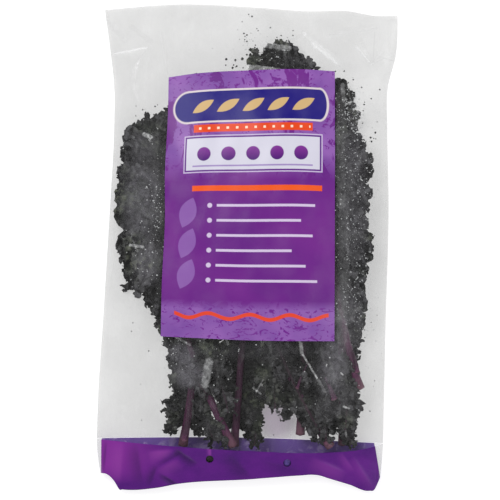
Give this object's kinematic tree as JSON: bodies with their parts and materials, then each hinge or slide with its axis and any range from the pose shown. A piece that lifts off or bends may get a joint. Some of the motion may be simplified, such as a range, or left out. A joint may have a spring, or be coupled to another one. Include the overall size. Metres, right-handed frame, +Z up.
{
  "type": "bagged purple kale bunch",
  "caption": "Bunch of cut purple curly kale leaves in an open clear produce bag with a printed purple panel and a purple gusseted end, lying on its back.",
  "frame": {"origin": "point on the flat middle of the back sheet's underside, on the surface that the bag lies on, about midway along and across the bag", "axes": "+Y runs along the bag towards its open mouth, +Z points up from the surface through the printed front, +X runs across the bag to the right as the printed front is seen"},
  "size_m": [0.2598, 0.4224, 0.0536],
  "materials": {
    "clear_film": "clear thin film, slightly hazy, glossy",
    "purple_film": "satin printed film",
    "panel_print": "satin print with paler brushed marks",
    "kale_blade": "matt, finely wrinkled leaf",
    "kale_stem": "satin purple stem"
  },
  "bodies": {
    "root": {"bag_clear_film": "clear_film", "bag_purple_end": "purple_film", "printed_panel": "panel_print", "leaf_1_blade": "kale_blade", "leaf_1_stem": "kale_stem", "leaf_2_blade": "kale_blade", "leaf_2_stem": "kale_stem", "leaf_3_blade": "kale_blade", "leaf_3_stem": "kale_stem", "leaf_4_blade": "kale_blade", "leaf_4_stem": "kale_stem", "leaf_5_blade": "kale_blade", "leaf_5_stem": "kale_stem", "leaf_6_blade": "kale_blade", "leaf_6_stem": "kale_stem", "leaf_7_blade": "kale_blade", "leaf_7_stem": "kale_stem", "leaf_8_blade": "kale_blade", "leaf_8_stem": "kale_stem"}
  },
  "joints": []
}
